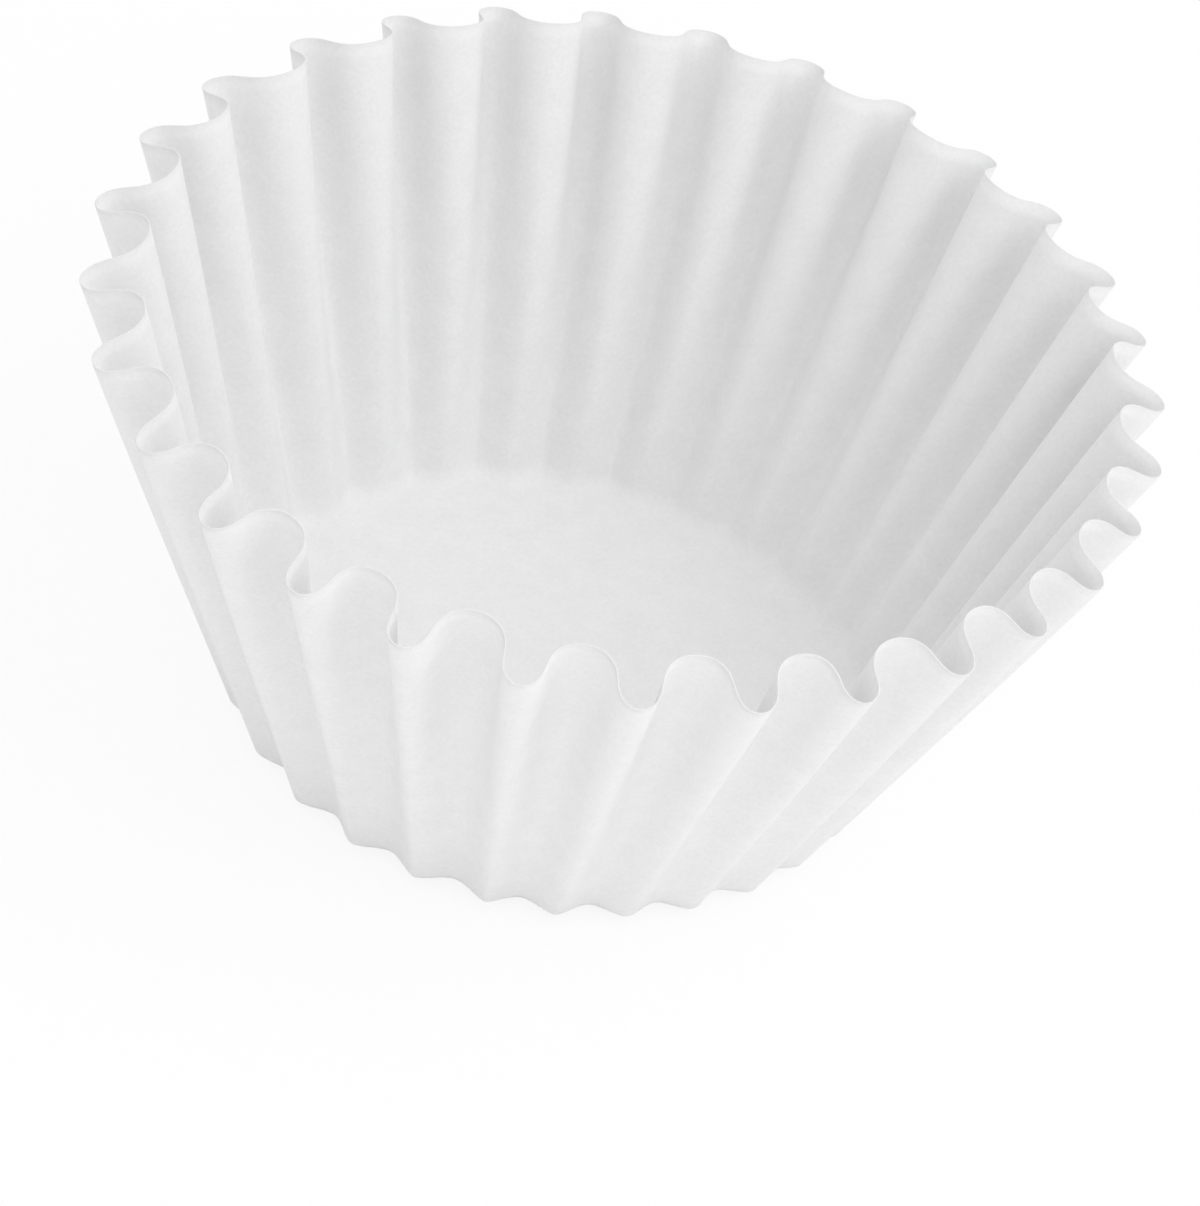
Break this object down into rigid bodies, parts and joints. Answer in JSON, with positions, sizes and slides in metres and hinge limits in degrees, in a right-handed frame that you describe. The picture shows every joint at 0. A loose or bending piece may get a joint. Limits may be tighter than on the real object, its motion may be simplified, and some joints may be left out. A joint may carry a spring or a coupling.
{
  "type": "paper coffee filter",
  "caption": "Basket coffee filter: a round sheet of white filter paper pressed into an open cup with a flat base and a fluted wall, which holds ground coffee",
  "frame": {"origin": "centre of the underside of the flat base, on the surface that the filter stands on", "axes": "+Z is the cup's axis, from the base up to the open rim; the flutes repeat all round it, a little wider towards -X than towards +X"},
  "size_m": [0.1341, 0.1342, 0.0615],
  "materials": {
    "filter_paper": "bleached white filter paper, matte, with a fine soft fibre grain"
  },
  "bodies": {
    "root": {"filter_paper": "filter_paper"}
  },
  "joints": []
}
